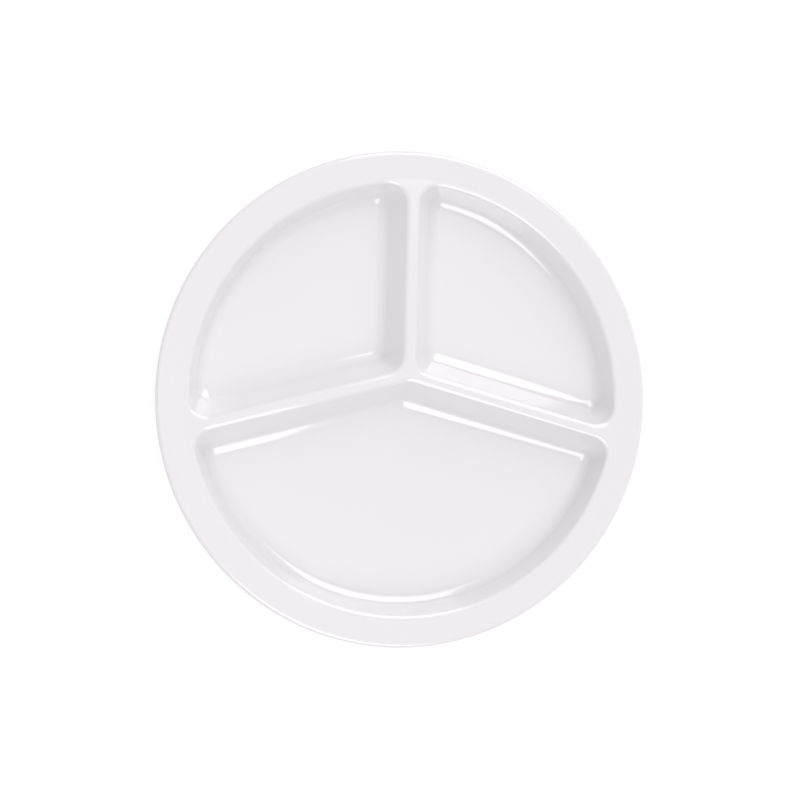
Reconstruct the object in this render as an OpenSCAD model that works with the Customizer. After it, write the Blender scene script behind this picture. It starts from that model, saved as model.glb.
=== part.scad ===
// Divided compartment plate, compression moulded in one piece, with three drafted wells.
// The origin is the centre of the surface that the foot ridges stand on. +Y runs along the
// upright divider and +Z is up.

/* [Plate] */
// Outside diameter of the rim
plate_d = 254; // [240:1:280]
// Width of the rim, from its outer edge to the lip line of the wells
rim_w = 14.5; // [10:0.5:18]
// Rise of the rim towards its outer edge, in degrees
rim_slope = 6; // [2:0.5:9]
// Thickness of the moulded wall, with its glaze
wall = 2.8; // [2.6:0.1:3.4]
// Rounding over the rim's outer edge
edge_round = 2; // [1.6:0.1:2.1]
// Rounding under the rim's outer edge
under_edge_round = 0.4; // [0.2:0.1:0.5]

/* [Wells] */
// Depth of the wells, from the flat tops of the dividers to the floors
well_depth = 15; // [10:0.5:20]
// Lean of the wall under the rim from upright, in degrees
draft = 17; // [12:1:24]
// Rounding of the lip, where the rim turns down into a well
lip_round = 2; // [1.5:0.1:3]
// Rounding at the foot of that wall, where it meets the floors
floor_round = 5.5; // [3:0.5:7]
// Radius that is left at the corners of a floor's flat part, seen from above
floor_corner = 1.2; // [0.8:0.1:4]
// Rounding on the back, between the undersides of rim and dividers and the well walls
back_round = 1.5; // [1:0.1:2]

/* [Dividers] */
// Flat width on top of each divider
divider_w = 2.1; // [2:0.1:6]
// Lean of the dividers' sides from upright, in degrees
divider_draft = 34; // [26:1:38]
// Rounding where a divider's top turns down into its sides
divider_round = 3; // [2.4:0.1:4]
// Rounding at the foot of a divider, where it meets the floors
divider_foot = 8; // [5:0.5:10]
// Distance of the point where the dividers meet from the plate's centre
hub_offset = 12.5; // [6:0.5:18]
// Fall of the two lower dividers below level, in degrees
divider_fall = 15; // [8:1:24]

/* [Foot] */
// Height of the foot ridge under each well
foot_h = 1.2; // [0.8:0.1:2]
// Width of the ridge's flat face
foot_w = 2; // [1.4:0.1:3]
// Distance of the ridge's middle from the edge of the floor's flat part
foot_inset = 2.4; // [2:0.1:6]
// Radius of the ridge at the corners, along its middle
foot_corner = 6; // [5:0.5:10]
// Lean of the ridge's sides from upright, in degrees
foot_draft = 30; // [15:1:35]

/* [Glaze and foil] */
// Thickness of the glaze over the food side
glaze_t = 0.2; // [0.15:0.05:0.3]
// Thickness of the decal foil under the glaze of the large well
foil_t = 0.1; // [0.05:0.01:0.12]
// Distance of the foil's edge from the edge of the floor's flat part
foil_margin = 4; // [2:0.5:12]
// Radius of the foil's corners
foil_corner = 8; // [4:0.5:12]

/* [Hidden] */
$fn = 96;
// Largest turn of one step along a well's outer arc and round one of its corners, in degrees
arc_step = 5;
corner_step = 13;
// Steps over a well's lip, through the rounding at its floor and over the rim's edge
lip_steps = 4;
floor_steps = 5;
edge_steps = 6;
// Extra length by which every cut passes the surface that it opens
overrun = 1;
// Height by which a lip's rounding runs on past the flat that it meets
crossing = 0.05;
// Flat run between the wells' lip line and the start of the rim's rise
rise_run = 0.5;

plate_r = plate_d / 2;
lip_r = plate_r - rim_w;
rise_r = lip_r + rise_run;
floor_z = foot_h + wall;
land_z = floor_z + well_depth;

// Sides of a well, as the lean, the upper rounding and the foot rounding of each
rim_side = [draft, lip_round, floor_round];
divider_side = [divider_draft, divider_round, divider_foot];
rim_run = side_run(rim_side);
divider_run = side_run(divider_side);
// Corner radius of a well at its lip line, so that its floor keeps its own corner
lip_corner = rim_run + floor_corner;
// Level distance from the lip line out to the end of the rounding on the back
back_reach = -side_start(rim_side, wall, back_round);
// Centre of the rounding over the rim's outer edge
edge_x = plate_r - edge_round;
edge_z = land_z + (edge_x - rise_r) * tan(rim_slope) - edge_round / cos(rim_slope);

// Where the dividers meet, and the directions in which they run out to the rim
hub = [0, hub_offset];
up_dir = 90;
left_dir = 180 + divider_fall;
right_dir = -divider_fall;
// Each well lies between two dividers, taken anticlockwise
right_well = [right_dir, up_dir];
left_well = [up_dir, left_dir];
large_well = [left_dir, right_dir + 360];
wells = [right_well, left_well, large_well];

function ray(angle) = [cos(angle), sin(angle)];
function direction(point) = atan2(point.y, point.x);
function turn_between(start, end) = (end - start) % 360 + ((end - start) % 360 < 0 ? 360 : 0);
function reversed(list) = [for (i = [len(list) - 1 : -1 : 0]) list[i]];

// Tangent length of a side's roundings, as a share of their radius
function tangent_share(side) = tan((90 - side[0]) / 2);

// Level distance from the flat top beside a well to the flat part of its floor
function side_run(side) = (side[1] + side[2]) * tangent_share(side) + well_depth * tan(side[0]);

// Inset at which a side leaves the flat top, pushed outwards by skin, with its own rounding
function side_start(side, skin, lip) = (side[1] - skin - lip) * tangent_share(side);

// Inset of a side, pushed outwards by skin, at a rise over the floor
function side_inset(side, skin, lip, rise) =
    let (turn = 90 - side[0])
    let (foot = side[2] + skin)
    let (depth = well_depth - rise)
    let (foot_rise = foot * (1 - cos(turn)))
    depth <= lip * (1 - cos(turn)) ? side_start(side, skin, lip) + half_chord(lip, depth) :
    rise <= foot_rise ? side_run(side) - half_chord(foot, rise) :
    side_run(side) - foot * sin(turn) - (rise - foot_rise) * tan(side[0]);

// Half the width of a circle at a depth under its top
function half_chord(radius, depth) = sqrt(max(0, depth * (radius + radius - depth)));

// Points along an arc: its start, one for each step and, where it is kept, its end
function arc(centre, radius, from, turn, steps, keep_end) =
    [for (i = [0 : keep_end ? steps : steps - 1]) centre + radius * ray(from + turn * i / steps)];

// Point in a well that lies the inset inside the flat tops of both dividers
function hub_point(well, inset) =
    let (half = (well[1] - well[0]) / 2)
    hub + (divider_w / 2 + inset) / sin(half) * ray(well[0] + half);

// Point in a well at its insets from the lip line and from one divider's flat top. The side
// is 1 for the divider that the well starts at and -1 for the one that ends it.
function rim_point(well, side, insets) =
    let (along = ray(side > 0 ? well[0] : well[1]))
    let (across = side * [-along.y, along.x])
    let (start = hub + (divider_w / 2 + insets[1]) * across)
    let (middle = start * along)
    let (reach = sqrt(middle * middle - start * start + pow(lip_r - insets[0], 2)))
    start + (reach - middle) * along;

// Direction of a well's middle, and the turn from there to a point of the well
function middle_of(well) = (well[0] + well[1]) / 2;
function swing(well, point) =
    let (turn = direction(point) - middle_of(well))
    turn - 360 * round(turn / 360);

// Turns from a well's middle to the two ends of its outer arc, at its insets
function arc_ends(well, insets, corner) =
    let (centre_insets = [insets[0] + corner, insets[1] + corner])
    [for (side = [1, -1]) swing(well, rim_point(well, side, centre_insets))];

// Outline of a well at its insets from the lip line and from the dividers' flat tops. The
// points of its outer arc stand between the given ends, for all outlines of a loft alike.
function outline(well, insets, corner, ends) =
    let (centre_insets = [insets[0] + corner, insets[1] + corner])
    let (middle = middle_of(well))
    let (own = arc_ends(well, insets, corner))
    let (count = ceil((ends[1] - ends[0]) / arc_step))
    let (grid = [for (i = [1 : count - 1]) ends[0] + (ends[1] - ends[0]) * i / count])
    let (turns = concat([own[0], (own[0] + grid[0]) / 2], grid, [(own[1] + grid[count - 2]) / 2]))
    let (out_first = well[0] - 90)
    let (out_last = well[1] + 90)
    let (hub_turn = turn_between(out_last, out_first))
    let (first_turn = middle + own[0] - out_first)
    let (last_turn = out_last - middle - own[1])
    concat(
        [for (turn = turns) (lip_r - insets[0]) * ray(middle + turn)],
        arc(rim_point(well, -1, centre_insets), corner, middle + own[1], last_turn,
            corner_steps(out_last - middle - ends[1]), true),
        arc(hub_point(well, centre_insets[1]), corner, out_last, hub_turn, corner_steps(hub_turn), true),
        arc(rim_point(well, 1, centre_insets), corner, out_first, first_turn,
            corner_steps(middle + ends[0] - out_first), false)
    );

function corner_steps(turn) = ceil(turn / corner_step);

// Closed solid through a well's outlines at levels of [insets, height], from the bottom up.
// The corners turn with the radius that is left to the given inset from the lip line.
module loft(well, levels, turn_inset) {
    own = [for (level = levels) arc_ends(well, level[0], turn_inset - level[0][0])];
    ends = [max([for (end = own) end[0]]), min([for (end = own) end[1]])];
    rings = [for (level = levels) outline(well, level[0], turn_inset - level[0][0], ends)];
    count = len(rings[0]);
    last = len(levels) - 1;
    points = [for (k = [0 : last]) for (p = rings[k]) [p.x, p.y, levels[k][1]]];
    bottom = [for (i = [0 : count - 1]) i];
    top = [for (i = [count - 1 : -1 : 0]) last * count + i];
    sides = [
        for (k = [0 : last - 1])
            for (i = [0 : count - 1])
                let (j = (i + 1) % count)
                [k * count + i, (k + 1) * count + i, (k + 1) * count + j, k * count + j]
    ];
    polyhedron(points, concat([bottom, top], sides));
}

// Levels of a well's space from its floor to the given top, pushed outwards by skin. The
// roundings at the top of its sides are given, because the back has its own.
function well_levels(skin, rounds, top) =
    let (foot = floor_round + skin)
    let (lip = rounds[0])
    let (turn = 90 - draft)
    let (rises = concat(
        [for (i = [0 : floor_steps]) foot * (1 - cos(turn * i / floor_steps))],
        [for (i = [lip_steps : -1 : 1]) well_depth - lip * (1 - cos(turn * i / lip_steps))]))
    let (insets = [for (rise = rises) side_insets(skin, rounds, rise)])
    let (starts = [side_start(rim_side, skin, rounds[0]), side_start(divider_side, skin, rounds[1])])
    let (last = len(rises) - 1)
    let (past = crossing / (well_depth - rises[last]))
    let (ends = starts - past * (insets[last] - starts))
    concat(
        [for (i = [0 : last]) [insets[i], floor_z - skin + rises[i]]],
        [[ends, land_z - skin + crossing], [ends, top]]
    );

function side_insets(skin, rounds, rise) =
    [side_inset(rim_side, skin, rounds[0], rise), side_inset(divider_side, skin, rounds[1], rise)];

// Space of a well on the plate's own face or under its glaze, up to the given top
module well_space(well, skin, top) {
    loft(well, well_levels(skin, [lip_round - skin, divider_round - skin], top), lip_corner);
}

// Tub of a well, a wall larger than its space, with the roundings of the back
module tub(well) {
    loft(well, well_levels(wall, [back_round, back_round], edge_z), lip_corner);
}

// Section of the plate's top with its wells left out, lowered by skin: from the outermost
// line of the rim over its edge and in to the middle
function rim_top(skin) =
    let (centre = [edge_x, edge_z])
    let (rounding = edge_round - skin)
    concat(
        arc(centre, rounding, 0, 90, edge_steps, true),
        [centre + rounding * ray(90 + rim_slope)],
        [[rise_r + skin * tan(rim_slope / 2), land_z - skin], [0, land_z - skin]]
    );

// Section of the plate's back with its wells left out: from the middle to the rim's
// outermost line. It stays flat as far as the rounding behind the wells' walls.
function rim_back() =
    let (flat_x = rise_r + back_reach)
    let (corner_z = land_z - wall + (plate_r - flat_x) * tan(rim_slope))
    let (tangent = under_edge_round * tan((90 - rim_slope) / 2))
    let (centre = [plate_r - under_edge_round, corner_z + tangent])
    concat(
        [[0, land_z - wall], [flat_x, land_z - wall]],
        arc(centre, under_edge_round, rim_slope - 90, 90 - rim_slope, edge_steps, true),
        [[plate_r, edge_z]]
    );

// Insets of the line that lies the distance inside the edge of a floor's flat part
function floor_insets(distance) = [rim_run + distance, divider_run + distance];

// Ridge that carries a well, set in from the edge of its floor's flat part
module foot_ridge(well) {
    top = foot_h + wall / 2;
    outer = foot_inset - foot_w / 2;
    inner = foot_inset + foot_w / 2;
    lean = tan(foot_draft);
    turn_inset = rim_run + foot_inset + foot_corner;
    difference() {
        loft(well, [[floor_insets(outer), 0], [floor_insets(outer - top * lean), top]], turn_inset);
        loft(well, [
            [floor_insets(inner - overrun * lean), -overrun],
            [floor_insets(inner + (top + overrun) * lean), top + overrun]
        ], turn_inset);
    }
}

// Moulded body: rim, three tubs of even wall, hollow dividers and foot ridges
module plate_body() {
    color("whitesmoke")
        difference() {
            union() {
                rotate_extrude() polygon(concat(rim_top(glaze_t), rim_back()));
                for (well = wells) {
                    tub(well);
                    foot_ridge(well);
                }
            }
            for (well = wells)
                well_space(well, glaze_t, land_z + overrun);
        }
}

// Clear glaze pressed over the food side, down to the rim's outermost line
module glaze_coat() {
    color("white")
        difference() {
            union() {
                rotate_extrude() polygon(concat(rim_top(0), reversed(rim_top(glaze_t))));
                for (well = wells)
                    well_space(well, glaze_t, land_z - glaze_t / 2);
            }
            for (well = wells)
                well_space(well, 0, land_z + overrun);
            decal_foil();
        }
}

// Foil that carries a print, laid on the body under the glaze of the large well
module decal_foil() {
    insets = floor_insets(foil_margin);
    ends = arc_ends(large_well, insets, foil_corner);
    color("gainsboro")
        translate([0, 0, floor_z - glaze_t])
            linear_extrude(foil_t)
                polygon(outline(large_well, insets, foil_corner, ends));
}

plate_body();
glaze_coat();
decal_foil();
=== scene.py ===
from math import atan2, ceil, cos, pi, radians, sin, sqrt, tan

import bmesh
import bpy
from mathutils import Matrix, Vector
from mathutils.geometry import delaunay_2d_cdt


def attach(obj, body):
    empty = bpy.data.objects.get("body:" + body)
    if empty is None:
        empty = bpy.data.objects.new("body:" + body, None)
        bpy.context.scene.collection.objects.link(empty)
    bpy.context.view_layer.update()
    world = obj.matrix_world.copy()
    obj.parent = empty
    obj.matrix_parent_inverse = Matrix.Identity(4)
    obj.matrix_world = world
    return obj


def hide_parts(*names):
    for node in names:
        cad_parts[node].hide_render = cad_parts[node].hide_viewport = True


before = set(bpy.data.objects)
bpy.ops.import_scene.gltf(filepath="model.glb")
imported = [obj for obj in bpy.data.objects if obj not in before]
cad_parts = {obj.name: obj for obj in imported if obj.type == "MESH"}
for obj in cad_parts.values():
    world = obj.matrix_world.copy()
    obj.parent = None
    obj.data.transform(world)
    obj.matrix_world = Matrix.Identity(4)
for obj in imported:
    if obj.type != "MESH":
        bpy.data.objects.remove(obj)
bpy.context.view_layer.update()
MM = 0.001

# Moulded body
# One compression moulding of white melamine resin: rim, three tubs of even wall, hollow
# dividers between them and a foot ridge under each tub. The glaze covers its whole face.

plate_r = 127.0 * MM
rim_w = 14.5 * MM
rim_slope = radians(6)
rise_run = 0.5 * MM
wall = 2.8 * MM
glaze_t = 0.2 * MM
edge_round = 2.0 * MM
under_edge_round = 0.4 * MM
well_depth = 15.0 * MM
# The two kinds of side that a well has, as the turn (a right angle less the draft), the
# upper rounding and the foot rounding: a steep wall under the rim and the gentler slope of
# the dividers
rim_side = (radians(90 - 17), 2.0 * MM, 5.5 * MM)
divider_side = (radians(90 - 34), 3.0 * MM, 8.0 * MM)
floor_corner = 1.2 * MM
back_round = 1.5 * MM
half_divider = 2.1 * MM / 2
hub = Vector((0, 12.5 * MM))
foot_h = 1.2 * MM
foot_w = 2.0 * MM
foot_inset = 2.4 * MM
foot_corner = 6.0 * MM
foot_lean = tan(radians(30))
foot_soften = 0.25 * MM

lip_r = plate_r - rim_w
floor_z = foot_h + wall
land_z = floor_z + well_depth
# The directions in which the dividers leave the hub bound the right, left and large well
divider_ways = [radians(a) for a in (-15, 90, 195, 345)]
wells = list(zip(divider_ways[:-1], divider_ways[1:]))
# Points round the rim, and about the length of a step along a well's outer arc, round its
# corners and along its straight sides
points_round = 360
arc_step, corner_step, side_step = radians(1.5), radians(5), 5 * MM
# The turn in radians that a corner's steps are counted for, which none exceeds, and the
# number of finer steps at each end of an outer arc
widest_corner, end_steps = 2.2, 4
# Half the width of the bend between the flat tops and the rising rim, and the widths of the
# flat strips that keep the shading of a flat face clear of a well and of the bend
rise_bend, guard, bend_guard = 0.25 * MM, 0.08 * MM, 0.05 * MM
# Points nearer to each other than this are one: in the triangles of the flat tops, and on
# the rim's edge, where the two faces of a piece meet
same_point, same_rim_point = 1e-9, 0.01 * MM


def side_run(side):
    """Level distance from the flat top beside a well to the flat part of its floor."""
    turn, lip, foot = side
    return (lip + foot) * tan(turn / 2) + well_depth / tan(turn)


def side_start(side, skin, lip):
    """Inset at which a side, pushed outwards by skin, leaves the flat top."""
    return (side[1] - skin - lip) * tan(side[0] / 2)


def half_chord(radius, depth):
    return sqrt(max(depth * (2 * radius - depth), 0))


def side_inset(side, skin, lip, rise):
    """Inset of a side, pushed outwards by skin, at a rise over the floor."""
    turn, foot = side[0], side[2] + skin
    depth = well_depth - rise
    foot_rise = foot * (1 - cos(turn))
    if depth <= lip * (1 - cos(turn)):
        return side_start(side, skin, lip) + half_chord(lip, depth)
    if rise <= foot_rise:
        return side_run(side) - half_chord(foot, rise)
    return side_run(side) - foot * sin(turn) - (rise - foot_rise) / tan(turn)


rim_run, divider_run = side_run(rim_side), side_run(divider_side)
lip_corner = rim_run + floor_corner


def ray(angle):
    return Vector((cos(angle), sin(angle)))


def way_to(point):
    return atan2(point.y, point.x)


def hub_point(well, inset):
    half = (well[1] - well[0]) / 2
    return hub + ray(well[0] + half) * ((half_divider + inset) / sin(half))


def rim_point(well, side, insets):
    """Where the line at one inset from the lip meets the line at the other from a divider."""
    along = ray(well[0] if side > 0 else well[1])
    across = Vector((-along.y, along.x)) * side
    start = hub + across * (half_divider + insets[1])
    middle = start.dot(along)
    reach = sqrt(middle ** 2 - start.length_squared + (lip_r - insets[0]) ** 2)
    return start + along * (reach - middle)


def arc(centre, radius, start, turn, count):
    return [centre + ray(start + turn * i / count) * radius for i in range(count)]


def arc_ends(well, insets, corner):
    """Directions of the two ends of a well's outer arc."""
    inner = [i + corner for i in insets]
    first, last = (way_to(rim_point(well, side, inner)) for side in (1, -1))
    return first, first + (last - first) % (2 * pi)


def well_outline(well, insets, corner, ends):
    """A well's outline at its insets from the lip and from the dividers, anticlockwise. The
    points of its outer arc stand between the given ends, in all outlines of a sheet alike."""
    inner = [i + corner for i in insets]
    centres = [rim_point(well, -1, inner), hub_point(well, inner[1]), rim_point(well, 1, inner)]
    first, last = arc_ends(well, insets, corner)
    count = ceil((well[1] - well[0]) / arc_step)
    grid = [ends[0] + (ends[1] - ends[0]) * i / count for i in range(1, count)]
    grid = [first + (grid[0] - first) * i / end_steps for i in range(end_steps)] + grid
    grid += [last + (grid[-1] - last) * i / end_steps for i in range(end_steps - 1, 0, -1)]
    points = [ray(turn) * (lip_r - insets[0]) for turn in grid]
    ways = [last, well[1] + pi / 2, well[0] - pi / 2 + 2 * pi, first + 2 * pi]
    for k, centre in enumerate(centres):
        turn = (ways[k + 1] - ways[k]) % (2 * pi)
        points += arc(centre, corner, ways[k], turn, ceil(widest_corner / corner_step))
        if k < len(centres) - 1:
            start = centre + ray(ways[k + 1]) * corner
            end = centres[k + 1] + ray(ways[k + 1]) * corner
            count = ceil(lip_r / side_step)
            points += [start.lerp(end, i / count) for i in range(count)]
    return points


def plan_sheet(name, levels, ridge_steps, radii):
    """Flat sheet that a mould's face is pressed from. Each point carries its level's inset
    from the lip, each well's floor is one face, and the rim's outermost circle comes last."""
    points, faces, depth = [], [], []

    def add_ring(ring, inset):
        start = len(points)
        points.extend(ring)
        depth.extend([inset] * len(ring))
        return list(range(start, len(points)))

    def bridge(outer, inner):
        faces.extend((outer[i - 1], outer[i], inner[i], inner[i - 1]) for i in range(len(outer)))

    ridge_turn = rim_run + foot_inset + foot_corner
    ridge_levels = [(rim_run + step, divider_run + step) for step in ridge_steps]
    loops = []
    for well in wells:
        rings = []
        for group, turn in ((levels, lip_corner), (ridge_levels, ridge_turn)):
            ends = arc_ends(well, group[-1], turn - group[-1][0]) if group else ()
            for insets in group:
                outline = well_outline(well, insets, turn - insets[0], ends)
                rings.append(add_ring(outline, insets[0]))
        for outer, inner in zip(rings, rings[1:]):
            bridge(outer, inner)
        faces.append(rings[-1])
        loops.append(rings[0])
    circles = []
    for radius in radii:
        circle = arc(Vector((0, 0)), radius, 0, 2 * pi, points_round)
        circles.append(add_ring(circle, levels[0][0]))
    for inner, outer in zip(circles, circles[1:]):
        bridge(outer, inner)
    # The flat tops: what is left between the three wells' outlines and the innermost circle
    border = loops + [circles[0]]
    flat = [i for loop in border for i in loop]
    edges, start = [], 0
    for loop in border:
        edges += [(start + i, start + (i + 1) % len(loop)) for i in range(len(loop))]
        start += len(loop)
    found = delaunay_2d_cdt([points[i] for i in flat], edges, [], 0, same_point)
    places, triangles, origin = found[0], found[2], found[3]
    for triangle in triangles:
        own = [flat[origin[i][0]] for i in triangle]
        middle = sum((places[i] for i in triangle), Vector((0, 0))) / len(triangle)
        in_well = any(set(own) <= set(loop) for loop in loops)
        if not in_well and middle.length < radii[0]:
            faces.append(own)
    mesh = bpy.data.meshes.new(name)
    mesh.from_pydata([(p.x, p.y, 0) for p in points], [], faces)
    mesh.attributes.new("inset", "FLOAT", "POINT").data.foreach_set("value", depth)
    return mesh


def calculator(tree):
    """A function that adds a math node to the tree, feeds it and returns its output."""
    def calc(operation, *values):
        made = tree.nodes.new("ShaderNodeMath")
        made.operation = operation
        for socket, value in zip(made.inputs, values):
            if isinstance(value, (int, float)):
                socket.default_value = value
            else:
                tree.links.new(value, socket)
        return made.outputs[0]

    return calc


def press_tree():
    """Node tree that presses a flat sheet to a mould's face: each point is lifted by the rule
    of the section at its inset from the lip and at its distance from the plate's centre."""
    tree = bpy.data.node_groups.new("press_to_mould", "GeometryNodeTree")
    tree.interface.new_socket("Sheet", in_out="INPUT", socket_type="NodeSocketGeometry")
    names = [
        "Flat top height", "Lip start", "Lip rounding", "Floor line", "Floor rounding", "Wall turn",
        "Ridge height", "Ridge outer line", "Ridge inner line", "Ridge slope", "Ridge softening",
        "Rise radius", "Rise bend", "Rise slope",
        "Edge start", "Edge centre radius", "Edge centre height", "Edge rounding", "Edge side",
    ]
    for name in names:
        tree.interface.new_socket(name, in_out="INPUT", socket_type="NodeSocketFloat")
    tree.interface.new_socket("Material", in_out="INPUT", socket_type="NodeSocketMaterial")
    tree.interface.new_socket("Pressed", in_out="OUTPUT", socket_type="NodeSocketGeometry")
    given = tree.nodes.new("NodeGroupInput").outputs
    calc = calculator(tree)

    def between(value, low, high):
        return calc("MINIMUM", calc("MAXIMUM", value, low), high)

    def circle_height(radius, across):
        squares = [calc("MULTIPLY", value, value) for value in (radius, across)]
        return calc("SQRT", calc("MAXIMUM", calc("SUBTRACT", *squares), 0.0))

    inset_node = tree.nodes.new("GeometryNodeInputNamedAttribute")
    inset_node.data_type = "FLOAT"
    inset_node.inputs["Name"].default_value = "inset"
    inset = next(s for s in inset_node.outputs if s.name == "Attribute" and s.enabled)
    place = tree.nodes.new("GeometryNodeInputPosition")
    length = tree.nodes.new("ShaderNodeVectorMath")
    length.operation = "LENGTH"
    tree.links.new(place.outputs[0], length.inputs[0])
    radius = length.outputs["Value"]

    sine, cosine = calc("SINE", given["Wall turn"]), calc("COSINE", given["Wall turn"])
    # Over the lip, down the leaning wall and through the rounding to the floor
    lip, foot = given["Lip rounding"], given["Floor rounding"]
    lip_span, foot_span = calc("MULTIPLY", lip, sine), calc("MULTIPLY", foot, sine)
    over_lip = between(calc("SUBTRACT", inset, given["Lip start"]), 0.0, lip_span)
    drop = calc("SUBTRACT", lip, circle_height(lip, over_lip))
    wall_start = calc("ADD", given["Lip start"], lip_span)
    wall_end = calc("SUBTRACT", given["Floor line"], foot_span)
    on_wall = between(
        calc("SUBTRACT", inset, wall_start), 0.0, calc("SUBTRACT", wall_end, wall_start)
    )
    drop = calc("ADD", drop, calc("MULTIPLY", on_wall, calc("TANGENT", given["Wall turn"])))
    to_floor = between(calc("SUBTRACT", given["Floor line"], inset), 0.0, foot_span)
    left = calc("SUBTRACT", circle_height(foot, to_floor), calc("MULTIPLY", foot, cosine))
    drop = calc("ADD", drop, left)
    # The ridge that the tub stands on
    into_ridge = calc(
        "MINIMUM",
        calc("SUBTRACT", inset, given["Ridge outer line"]),
        calc("SUBTRACT", given["Ridge inner line"], inset),
    )
    ridge = calc("MAXIMUM", calc("MULTIPLY", into_ridge, given["Ridge slope"]), 0.0)
    ridge = calc("SMOOTH_MIN", ridge, given["Ridge height"], given["Ridge softening"])
    drop = calc("ADD", drop, ridge)
    # The rim's rise, which starts with a short bend
    bend = given["Rise bend"]
    past = calc("SUBTRACT", radius, given["Rise radius"])
    share = calc("DIVIDE", calc("ADD", past, bend), calc("MULTIPLY", bend, 2.0))
    share = between(share, 0.0, 1.0)
    rise = calc("MULTIPLY", calc("MULTIPLY", share, share), bend)
    rise = calc("ADD", rise, calc("MAXIMUM", calc("SUBTRACT", past, bend), 0.0))
    rise = calc("MULTIPLY", rise, given["Rise slope"])
    height = calc("ADD", calc("SUBTRACT", given["Flat top height"], drop), rise)
    # The rounding of the rim's edge
    from_centre = calc("SUBTRACT", radius, given["Edge centre radius"])
    round_height = circle_height(given["Edge rounding"], from_centre)
    round_height = calc("MULTIPLY", round_height, given["Edge side"])
    round_height = calc("ADD", round_height, given["Edge centre height"])
    at_edge = calc("GREATER_THAN", radius, given["Edge start"])
    step = calc("MULTIPLY", at_edge, calc("SUBTRACT", round_height, height))
    height = calc("ADD", height, step)

    lift = tree.nodes.new("ShaderNodeCombineXYZ")
    tree.links.new(height, lift.inputs["Z"])
    pressed = tree.nodes.new("GeometryNodeSetPosition")
    tree.links.new(given["Sheet"], pressed.inputs["Geometry"])
    tree.links.new(lift.outputs[0], pressed.inputs["Offset"])
    smooth = tree.nodes.new("GeometryNodeSetShadeSmooth")
    tree.links.new(pressed.outputs["Geometry"], smooth.inputs["Geometry"])
    real = tree.nodes.new("GeometryNodeRealizeInstances")
    tree.links.new(smooth.outputs["Geometry"], real.inputs["Geometry"])
    finish = tree.nodes.new("GeometryNodeSetMaterial")
    tree.links.new(real.outputs["Geometry"], finish.inputs["Geometry"])
    tree.links.new(given["Material"], finish.inputs["Material"])
    tree.links.new(finish.outputs["Geometry"], tree.nodes.new("NodeGroupOutput").inputs[0])
    return tree


press = press_tree()


def pressed_face(name, sheet, material, **values):
    """One face of the mould, pressed from a flat sheet, as a plain mesh."""
    blank = bpy.data.objects.new(name, sheet)
    bpy.context.scene.collection.objects.link(blank)
    step = blank.modifiers.new("press", "NODES")
    step.node_group = press
    wanted = {key.replace("_", " ").capitalize(): value for key, value in values.items()}
    wanted["Material"] = material
    for socket in press.interface.items_tree:
        if socket.name in wanted:
            step[socket.identifier] = wanted.pop(socket.name)
    assert not wanted, wanted
    pressed = blank.evaluated_get(bpy.context.evaluated_depsgraph_get())
    mesh = bpy.data.meshes.new_from_object(pressed)
    bpy.data.objects.remove(blank)
    return mesh


def closed_piece(name, upper, under, material):
    """A closed shell from its upper face and its under face, joined round the rim's edge."""
    form = bmesh.new()
    form.from_mesh(upper)
    count = len(form.verts)
    upper_rim = list(range(count - points_round, count))
    form.faces.ensure_lookup_table()
    face_count = len(form.faces)
    form.from_mesh(under)
    form.verts.ensure_lookup_table()
    form.faces.ensure_lookup_table()
    bmesh.ops.reverse_faces(form, faces=form.faces[face_count:])
    under_rim = list(range(len(form.verts) - points_round, len(form.verts)))
    # The body's two rims stand apart and get a strip between them. The glaze's are one line
    gap = (form.verts[upper_rim[0]].co - form.verts[under_rim[0]].co).length
    if gap > same_rim_point:
        for i in range(points_round):
            corners = (upper_rim[i - 1], under_rim[i - 1], under_rim[i], upper_rim[i])
            form.faces.new([form.verts[c] for c in corners]).smooth = True
    rims = [form.verts[i] for i in upper_rim + under_rim]
    bmesh.ops.remove_doubles(form, verts=rims, dist=same_rim_point)
    mesh = bpy.data.meshes.new(name)
    form.to_mesh(mesh)
    form.free()
    for attribute in [a for a in mesh.attributes if a.name == "inset"]:
        mesh.attributes.remove(attribute)
    mesh.materials.clear()
    mesh.materials.append(material)
    piece = bpy.data.objects.new(name, mesh)
    bpy.context.scene.collection.objects.link(piece)
    return piece


def section_levels(skin, rounds, lip_steps, wall_steps, floor_steps):
    """Insets from the lip and from the dividers of the outlines down a well's sides. The
    upper roundings of the two kinds of side are given, because the back has its own."""
    turn, foot = rim_side[0], rim_side[2] + skin
    falls = [rounds[0] * (1 - cos(turn * i / lip_steps)) for i in range(lip_steps + 1)]
    rises = [foot * (1 - cos(turn * i / floor_steps)) for i in range(floor_steps, -1, -1)]
    top, low = well_depth - falls[-1], rises[0]
    middle = [top + (low - top) * i / wall_steps for i in range(1, wall_steps)]
    sides = list(zip((rim_side, divider_side), rounds))
    levels = []
    for rise in [well_depth - fall for fall in falls] + middle + rises:
        levels.append([side_inset(side, skin, lip, rise) for side, lip in sides])
    return [[i - guard for i in levels[0]]] + levels + [[i + guard for i in levels[-1]]]


def section_values(skin, lip):
    """The press's values for a face that lies skin below the plate's own."""
    edge_x = plate_r - edge_round
    edge_rise = (edge_x - lip_r - rise_run) * tan(rim_slope)
    return dict(
        flat_top_height=land_z - skin,
        lip_start=side_start(rim_side, skin, lip),
        lip_rounding=lip,
        floor_line=rim_run,
        floor_rounding=rim_side[2] + skin,
        wall_turn=rim_side[0],
        rise_radius=lip_r + rise_run + skin * tan(rim_slope / 2),
        rise_bend=rise_bend,
        rise_slope=tan(rim_slope),
        edge_start=edge_x - (edge_round - skin) * sin(rim_slope),
        edge_centre_radius=edge_x,
        edge_centre_height=land_z + edge_rise - edge_round / cos(rim_slope),
        edge_rounding=edge_round - skin,
        edge_side=1.0,
        ridge_slope=1.0,
    )


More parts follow.
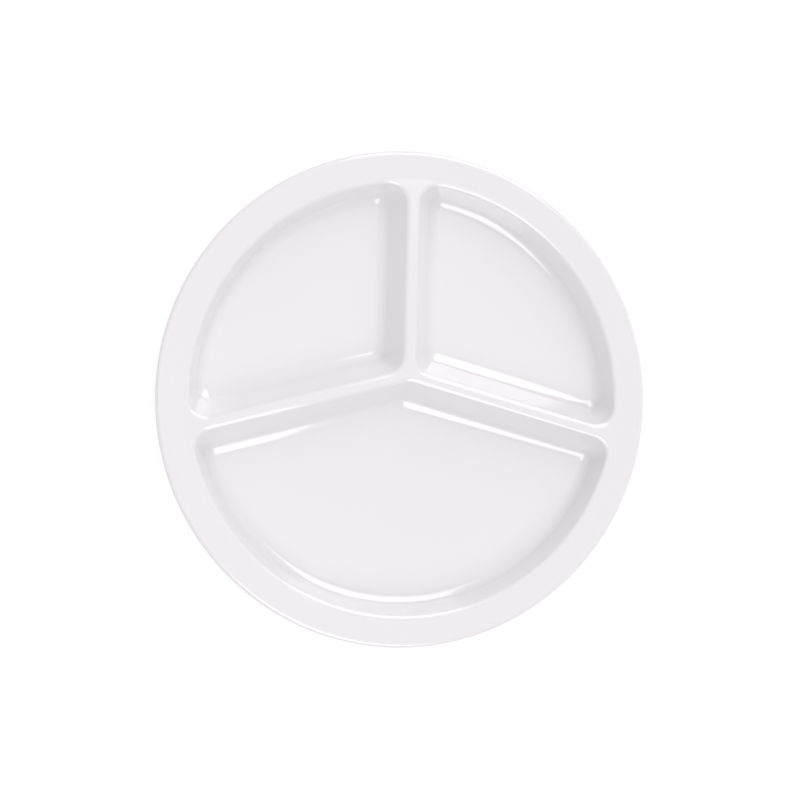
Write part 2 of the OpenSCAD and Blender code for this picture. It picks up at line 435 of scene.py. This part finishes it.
def moulded_resin():
    """Shader group of pressed resin: soft clouding of the colour, a drifting gloss and the
    faint waviness that the press leaves."""
    group = bpy.data.node_groups.new("moulded_resin", "ShaderNodeTree")
    values = ("Cloud scale", "Gloss", "Gloss drift", "Wave scale", "Grain scale", "Grain share")
    for way, kind, names in (
        ("INPUT", "NodeSocketColor", ("Colour", "Cloud colour")),
        ("INPUT", "NodeSocketFloat", values),
        ("OUTPUT", "NodeSocketColor", ("Colour",)),
        ("OUTPUT", "NodeSocketFloat", ("Roughness", "Height")),
    ):
        for name in names:
            group.interface.new_socket(name, in_out=way, socket_type=kind)
    given = group.nodes.new("NodeGroupInput").outputs
    result = group.nodes.new("NodeGroupOutput").inputs
    place = group.nodes.new("ShaderNodeTexCoord").outputs["Object"]
    link, calc = group.links.new, calculator(group)

    def noise(scale, detail):
        made = group.nodes.new("ShaderNodeTexNoise")
        made.inputs["Detail"].default_value = detail
        link(place, made.inputs["Vector"])
        link(scale, made.inputs["Scale"])
        return made.outputs["Fac"]

    cloud = noise(given["Cloud scale"], detail=4.0)
    # The mix node's colours are its inputs 6 and 7 and its output 2
    mix = group.nodes.new("ShaderNodeMix")
    mix.data_type = "RGBA"
    link(cloud, mix.inputs[0])
    link(given["Colour"], mix.inputs[6])
    link(given["Cloud colour"], mix.inputs[7])
    link(mix.outputs[2], result["Colour"])
    wave = noise(given["Wave scale"], detail=2.0)
    grain = noise(given["Grain scale"], detail=5.0)
    noise_middle = 0.5
    drift = calc("MULTIPLY", calc("SUBTRACT", wave, noise_middle), given["Gloss drift"])
    link(calc("ADD", given["Gloss"], drift), result["Roughness"])
    kept_wave = calc("MULTIPLY", wave, calc("SUBTRACT", 1.0, given["Grain share"]))
    link(calc("ADD", kept_wave, calc("MULTIPLY", grain, given["Grain share"])), result["Height"])
    return group


resin_group = moulded_resin()


def linear(*shades):
    """A light colour from its display values of 0 to 255."""
    return tuple(((shade / 255 + 0.055) / 1.055) ** 2.4 for shade in shades) + (1.0,)


def resin_material(name, colour, cloud, roughness, drift, bump, scales, grain):
    """Principled material whose colour, gloss and surface drift come from the resin group.
    The scales are those of the clouds, the wave and the grain."""
    material = bpy.data.materials.new(name)
    material.use_nodes = True
    tree = material.node_tree
    shader = tree.nodes["Principled BSDF"]
    resin = tree.nodes.new("ShaderNodeGroup")
    resin.node_tree = resin_group
    cloud_scale, wave_scale, grain_scale = scales
    given = {
        "Colour": colour, "Cloud colour": cloud, "Cloud scale": cloud_scale,
        "Gloss": roughness, "Gloss drift": drift, "Wave scale": wave_scale,
        "Grain scale": grain_scale, "Grain share": grain,
    }
    for key, value in given.items():
        resin.inputs[key].default_value = value
    relief = tree.nodes.new("ShaderNodeBump")
    relief.inputs["Strength"].default_value = 1.0
    relief.inputs["Distance"].default_value = bump
    tree.links.new(resin.outputs["Height"], relief.inputs["Height"])
    tree.links.new(resin.outputs["Colour"], shader.inputs["Base Color"])
    tree.links.new(resin.outputs["Roughness"], shader.inputs["Roughness"])
    tree.links.new(relief.outputs["Normal"], shader.inputs["Normal"])
    material.diffuse_color = colour
    return material, shader


back_resin, back_shader = resin_material(
    "back_resin", colour=linear(238, 236, 239), cloud=linear(232, 230, 233),
    roughness=0.34, drift=0.10, bump=0.02 * MM, scales=(18.0, 60.0, 900.0), grain=0.35,
)
back_shader.inputs["IOR"].default_value = 1.55

# Steps of the bend and of the edge's upper and lower roundings, and how far along the rim's
# rise the circles between them lie, on the face and on the back
bend_steps, edge_steps, under_edge_steps = 4, 15, 6
rise_shares, under_shares = (0.25, 0.5, 0.75), (0.3, 0.6, 0.9)


def bend_circles(middle):
    """Radii of the circles over the bend, the first of them on the flat top before it."""
    radii = [middle + rise_bend * (2 * i / bend_steps - 1) for i in range(bend_steps + 1)]
    return [radii[0] - bend_guard] + radii


rise_r = lip_r + rise_run
edge_turns = [(pi / 2 + rim_slope) * i / edge_steps - rim_slope for i in range(edge_steps + 1)]
edge_radii = [plate_r - edge_round + edge_round * sin(turn) for turn in edge_turns]
rise_radii = [rise_r + share * (edge_radii[0] - rise_r) for share in rise_shares]
face_radii = bend_circles(rise_r) + rise_radii + sorted(edge_radii + [plate_r - glaze_t])
face_levels = section_levels(
    0, (rim_side[1], divider_side[1]), lip_steps=12, wall_steps=4, floor_steps=16
)
face_sheet = plan_sheet("face_sheet", face_levels, [], face_radii)

back_rise = rise_r - side_start(rim_side, wall, back_round)
under_centre = plate_r - under_edge_round
under_turn = pi / 2 - rim_slope
under_rise = (plate_r - back_rise) * tan(rim_slope)
under_z = land_z - wall + under_rise + under_edge_round * tan(under_turn / 2)
back_radii = bend_circles(back_rise)
back_radii += [back_rise + share * (under_centre - back_rise) for share in under_shares]
for i in range(under_edge_steps + 1):
    turn = rim_slope + under_turn * i / under_edge_steps
    back_radii.append(under_centre + under_edge_round * sin(turn))
# Distances inside the floor's edge at which the ridge starts, ends and bends
ridge_side = foot_h * foot_lean
ridge_outer = foot_inset - foot_w / 2 - ridge_side
ridge_inner = foot_inset + foot_w / 2 + ridge_side
bend_shares = [-0.1, 0, 0.4, 0.7, 0.85, 1, 1.15, 1.35]
ridge_steps = [ridge_outer + share * ridge_side for share in bend_shares]
ridge_steps += [ridge_inner - share * ridge_side for share in reversed(bend_shares)]
back_levels = section_levels(
    wall, (back_round, back_round), lip_steps=8, wall_steps=4, floor_steps=16
)
back_sheet = plan_sheet("back_sheet", back_levels, ridge_steps, back_radii)

# The edge's lower rounding counts from just inside its first circle
edge_margin = 0.001 * MM
back_values = section_values(wall, back_round)
back_values.update(
    rise_radius=back_rise,
    ridge_height=foot_h,
    ridge_outer_line=rim_run + ridge_outer,
    ridge_inner_line=rim_run + ridge_inner,
    ridge_slope=1 / foot_lean,
    ridge_softening=foot_soften,
    edge_start=under_centre + under_edge_round * sin(rim_slope) - edge_margin,
    edge_centre_radius=under_centre,
    edge_centre_height=under_z,
    edge_rounding=under_edge_round,
    edge_side=-1.0,
)
inner_values = section_values(glaze_t, rim_side[1] - glaze_t)
body = closed_piece(
    "moulded_plate",
    pressed_face("body_face", face_sheet, back_resin, **inner_values),
    pressed_face("body_back", back_sheet, back_resin, **back_values),
    back_resin,
)
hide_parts("plate_body")
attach(body, "root")

# Decal foil
# A sheet of resin-soaked paper on the floor of the large well, which the press fuses to the
# body. The glaze over it is as white as the body, so it doesn't show.

foil_paper, foil_shader = resin_material(
    "foil_paper", colour=linear(240, 238, 240), cloud=linear(234, 232, 235),
    roughness=0.55, drift=0.1, bump=0.01 * MM, scales=(400.0, 900.0, 2500.0), grain=0.7,
)
foil_shader.inputs["IOR"].default_value = 1.5
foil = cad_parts["decal_foil"]
foil.data.materials.clear()
foil.data.materials.append(foil_paper)

# Glaze
# Clear melamine resin pressed over the whole food side in the last step of the moulding. It
# gives the face its high gloss and ends at the rim's outermost line, where the mould parts.

glaze_resin, glaze_shader = resin_material(
    "glaze_resin", colour=linear(237, 234, 237), cloud=linear(235, 232, 235),
    roughness=0.13, drift=0.03, bump=0.004 * MM, scales=(9.0, 110.0, 1400.0), grain=0.12,
)
glaze_shader.inputs["IOR"].default_value = 1.5
glaze_shader.inputs["Coat Weight"].default_value = 1.0
glaze_shader.inputs["Coat Roughness"].default_value = 0.03
glaze_shader.inputs["Coat IOR"].default_value = 1.5
glaze = closed_piece(
    "pressed_glaze",
    pressed_face("glaze_face", face_sheet, glaze_resin, **section_values(0, rim_side[1])),
    pressed_face("glaze_back", face_sheet, glaze_resin, **inner_values),
    glaze_resin,
)
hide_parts("glaze_coat")
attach(glaze, "root")

# Floor, light and camera
# A plain pale floor, two softboxes, two dim fills and a pale room. The camera looks down
# from a little to the left of upright.


def seen_by_eye(tree):
    """1 for camera, glossy and transmission rays, and 0 for the rays that light things."""
    path = tree.nodes.new("ShaderNodeLightPath").outputs
    calc = calculator(tree)
    total = calc("MAXIMUM", path["Is Camera Ray"], path["Is Glossy Ray"])
    return calc("MAXIMUM", total, path["Is Transmission Ray"])


def stage_material(name, glow, faint, lit):
    """Matt surface. The eye sees a glow with a faint matt share, which takes the shadows,
    and the rays that light things see a matt grey."""
    material = bpy.data.materials.new(name)
    material.use_nodes = True
    tree = material.node_tree
    tree.nodes.remove(tree.nodes["Principled BSDF"])

    def matt(shade):
        made = tree.nodes.new("ShaderNodeBsdfDiffuse")
        made.inputs["Color"].default_value = (shade, shade, shade, 1)
        return made.outputs[0]

    emission = tree.nodes.new("ShaderNodeEmission")
    emission.inputs["Strength"].default_value = glow
    both = tree.nodes.new("ShaderNodeAddShader")
    tree.links.new(matt(faint), both.inputs[0])
    tree.links.new(emission.outputs[0], both.inputs[1])
    pick = tree.nodes.new("ShaderNodeMixShader")
    tree.links.new(seen_by_eye(tree), pick.inputs[0])
    tree.links.new(matt(lit), pick.inputs[1])
    tree.links.new(both.outputs[0], pick.inputs[2])
    tree.links.new(pick.outputs[0], tree.nodes["Material Output"].inputs["Surface"])
    return material


# The floor lies just under the plate, so that the two share no plane
floor_half, floor_drop = 3.0, 0.05 * MM
corners = [(-1, -1), (1, -1), (1, 1), (-1, 1)]
floor_mesh = bpy.data.meshes.new("studio_floor")
floor_mesh.from_pydata(
    [(x * floor_half, y * floor_half, -floor_drop) for x, y in corners], [], [(0, 1, 2, 3)]
)
floor_mesh.materials.append(stage_material("studio_floor", glow=0.86, faint=0.18, lit=0.7))
floor = bpy.data.objects.new("studio_floor", floor_mesh)
bpy.context.scene.collection.objects.link(floor)

# The room is white to the eye and dimmer as a light
room_light = 0.64
room = bpy.data.worlds.new("pale_room")
bpy.context.scene.world = room
room.use_nodes = True
tree = room.node_tree
dim = tree.nodes["Background"]
white = tree.nodes.new("ShaderNodeBackground")
for background, strength in ((dim, room_light), (white, 1.0)):
    background.inputs["Color"].default_value = (1, 1, 1, 1)
    background.inputs["Strength"].default_value = strength
pick = tree.nodes.new("ShaderNodeMixShader")
tree.links.new(seen_by_eye(tree), pick.inputs[0])
tree.links.new(dim.outputs[0], pick.inputs[1])
tree.links.new(white.outputs[0], pick.inputs[2])
tree.links.new(pick.outputs[0], tree.nodes["World Output"].inputs["Surface"])

# Each light: the middle of its panel, the way that the panel faces, its roll, its width and
# height, and the brightness of its face, where 1 is white, as it lights a matt surface and
# as it shows in a gloss. The fills don't show there. The panel that shows in the gloss stands
# in front of the other, which would hide it.
front_gap = 10 * MM
lights = [
    ("north_softbox", (0.732, 1.508, 2.443), (-0.378, -0.913, -0.155), 10.2,
     1.512, 4.061, 1.65, 2.5),
    ("south_softbox", (-0.28, -1.695, 2.439), (-0.557, 0.718, -0.418), -9.6,
     1.825, 2.663, 1.85, 2.9),
    ("east_fill", (1.6, 0.3, 1.2), (-1.6, -0.3, -1.2), 0, 1.6, 1.2, 0.2, 0),
    ("west_fill", (-1.6, 0.3, 1.2), (1.6, -0.3, -1.2), 0, 1.6, 1.2, 0.1, 0),
]
for name, place, facing, roll, width, height, matt, gloss in lights:
    for part, brightness in (("matt", matt), ("gloss", gloss)):
        if not brightness:
            continue
        data = bpy.data.lights.new(f"{name}_{part}", "AREA")
        data.shape = "RECTANGLE"
        data.size, data.size_y = width, height
        data.energy = brightness * pi * width * height
        lamp = bpy.data.objects.new(f"{name}_{part}", data)
        bpy.context.scene.collection.objects.link(lamp)
        lamp.visible_diffuse, lamp.visible_glossy = part == "matt", part == "gloss"
        turn = Vector(facing).to_track_quat("-Z", "Y").to_matrix()
        turn = turn @ Matrix.Rotation(radians(roll), 3, "Z")
        step = Vector(facing) * (front_gap if part == "gloss" else 0)
        lamp.matrix_world = Matrix.Translation(Vector(place) + step) @ turn.to_4x4()

# The camera's turns in radians, the point that it looks at and how far it is from there, and
# its focal length and the picture's width in pixels
tilt_across, tilt_up, roll = -0.1811, 0.0088, 0.023
aim = Vector((-4.8176, -0.5178, 19.0)) * MM
distance = 550 * MM
focal_px, picture_px = 1076.48, 800
camera_data = bpy.data.cameras.new("camera")
camera_data.sensor_width = 36
camera_data.lens = focal_px * camera_data.sensor_width / picture_px
camera = bpy.data.objects.new("camera", camera_data)
bpy.context.scene.collection.objects.link(camera)
stance = Matrix.Rotation(tilt_across, 3, "Y") @ Matrix.Rotation(tilt_up, 3, "X")
stance = stance @ Matrix.Rotation(roll, 3, "Z")
camera.matrix_world = Matrix.Translation(aim + stance @ Vector((0, 0, distance))) @ stance.to_4x4()
bpy.context.scene.camera = camera
bpy.context.scene.view_settings.view_transform = "Standard"
